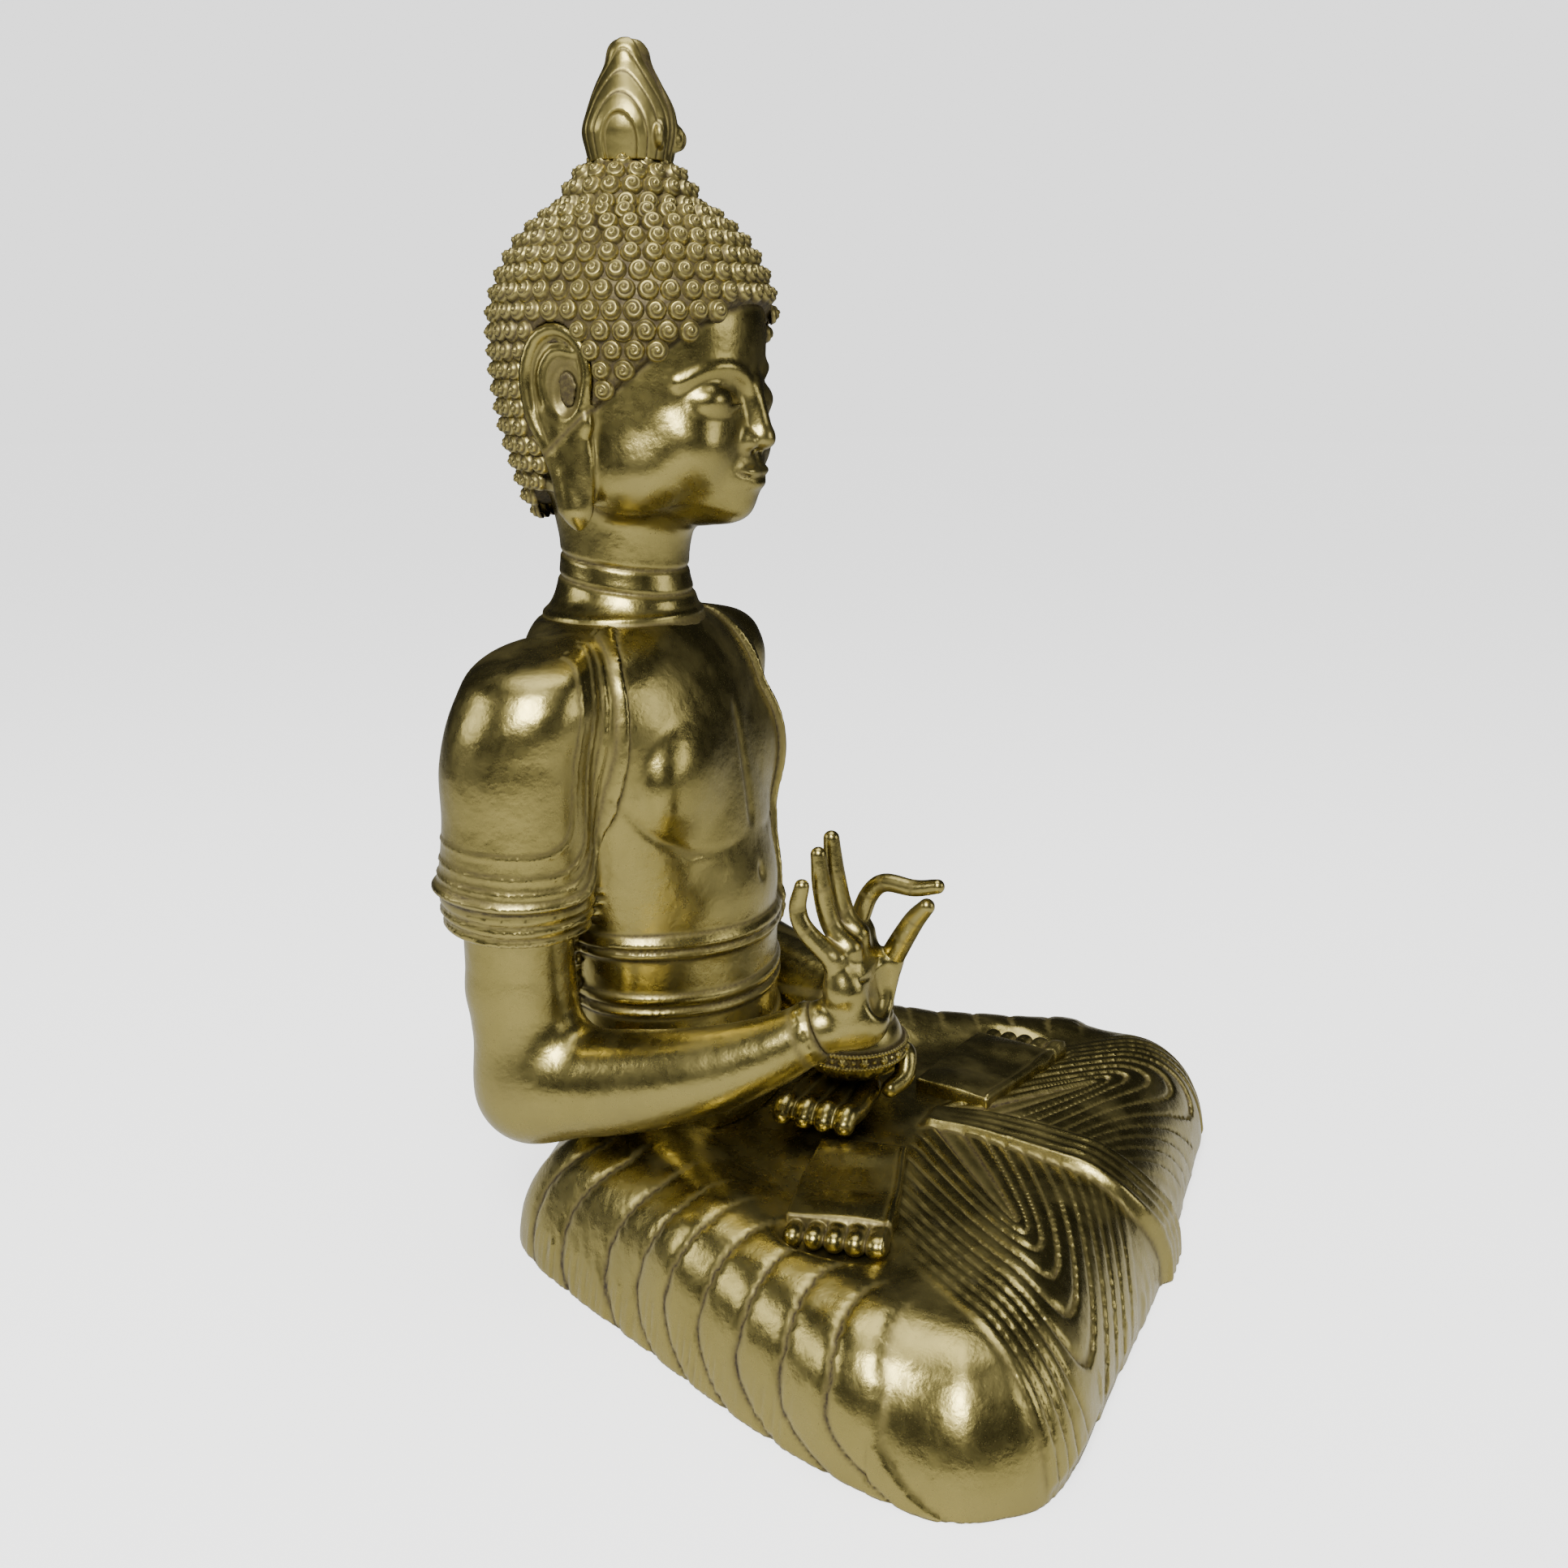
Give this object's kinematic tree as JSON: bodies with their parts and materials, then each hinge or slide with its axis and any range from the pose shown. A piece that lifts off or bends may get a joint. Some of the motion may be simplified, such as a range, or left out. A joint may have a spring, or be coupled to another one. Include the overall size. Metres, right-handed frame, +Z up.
{
  "type": "seated buddha statue",
  "caption": "Seated lotus figure with a raised hand and an alms bowl in its lap, hollow cast in sections on a flat base, with a lift-off flame finial.",
  "frame": {"origin": "centre of the footprint box, on the underside of the base", "axes": "+Z up, the figure faces -Y, its left side is +X"},
  "size_m": [0.4132, 0.3665, 0.6],
  "materials": {
    "gold_paint": "antique gold metallic paint on cast resin, satin, brown-black wash left in the grooves",
    "hair_gold": "antique gold metallic paint on cast resin, satin, darker between the curls",
    "bowl_gold": "antique gold metallic paint on cast resin",
    "raw_resin": "unpainted cast resin tube",
    "board": "unfinished fibreboard",
    "felt": "black felt",
    "steel": "zinc plated steel",
    "dowel_wood": "plain beech dowel",
    "plaster": "cast plaster"
  },
  "bodies": {
    "statue": {"lap_shell": "gold_paint", "left_foot": "gold_paint", "right_foot": "gold_paint", "base_board": "board", "felt_sheet": "felt", "base_screws": "steel", "plaster_ballast": "plaster", "waist_tube": "raw_resin", "torso_shell": "gold_paint", "neck_tube": "raw_resin", "head_shell": "gold_paint", "hair_cap": "hair_gold", "crown_socket": "raw_resin", "right_arm": "gold_paint", "right_arm_dowel": "dowel_wood", "right_hand": "gold_paint", "right_wrist_pin": "steel", "right_index_finger": "gold_paint", "right_thumb": "gold_paint", "finger_pins": "steel", "left_arm": "gold_paint", "left_arm_dowel": "dowel_wood", "left_hand": "gold_paint", "left_wrist_pin": "steel", "alms_bowl": "bowl_gold", "bowl_band": "bowl_gold", "bowl_peg": "dowel_wood"},
    "finial": {"flame_finial": "gold_paint", "finial_peg": "dowel_wood"}
  },
  "joints": [
    {"name": "finial_lift", "type": "slide", "parent": "statue", "child": "finial", "axis": [0, 0, 1], "range_m": [0, 0.03]}
  ]
}
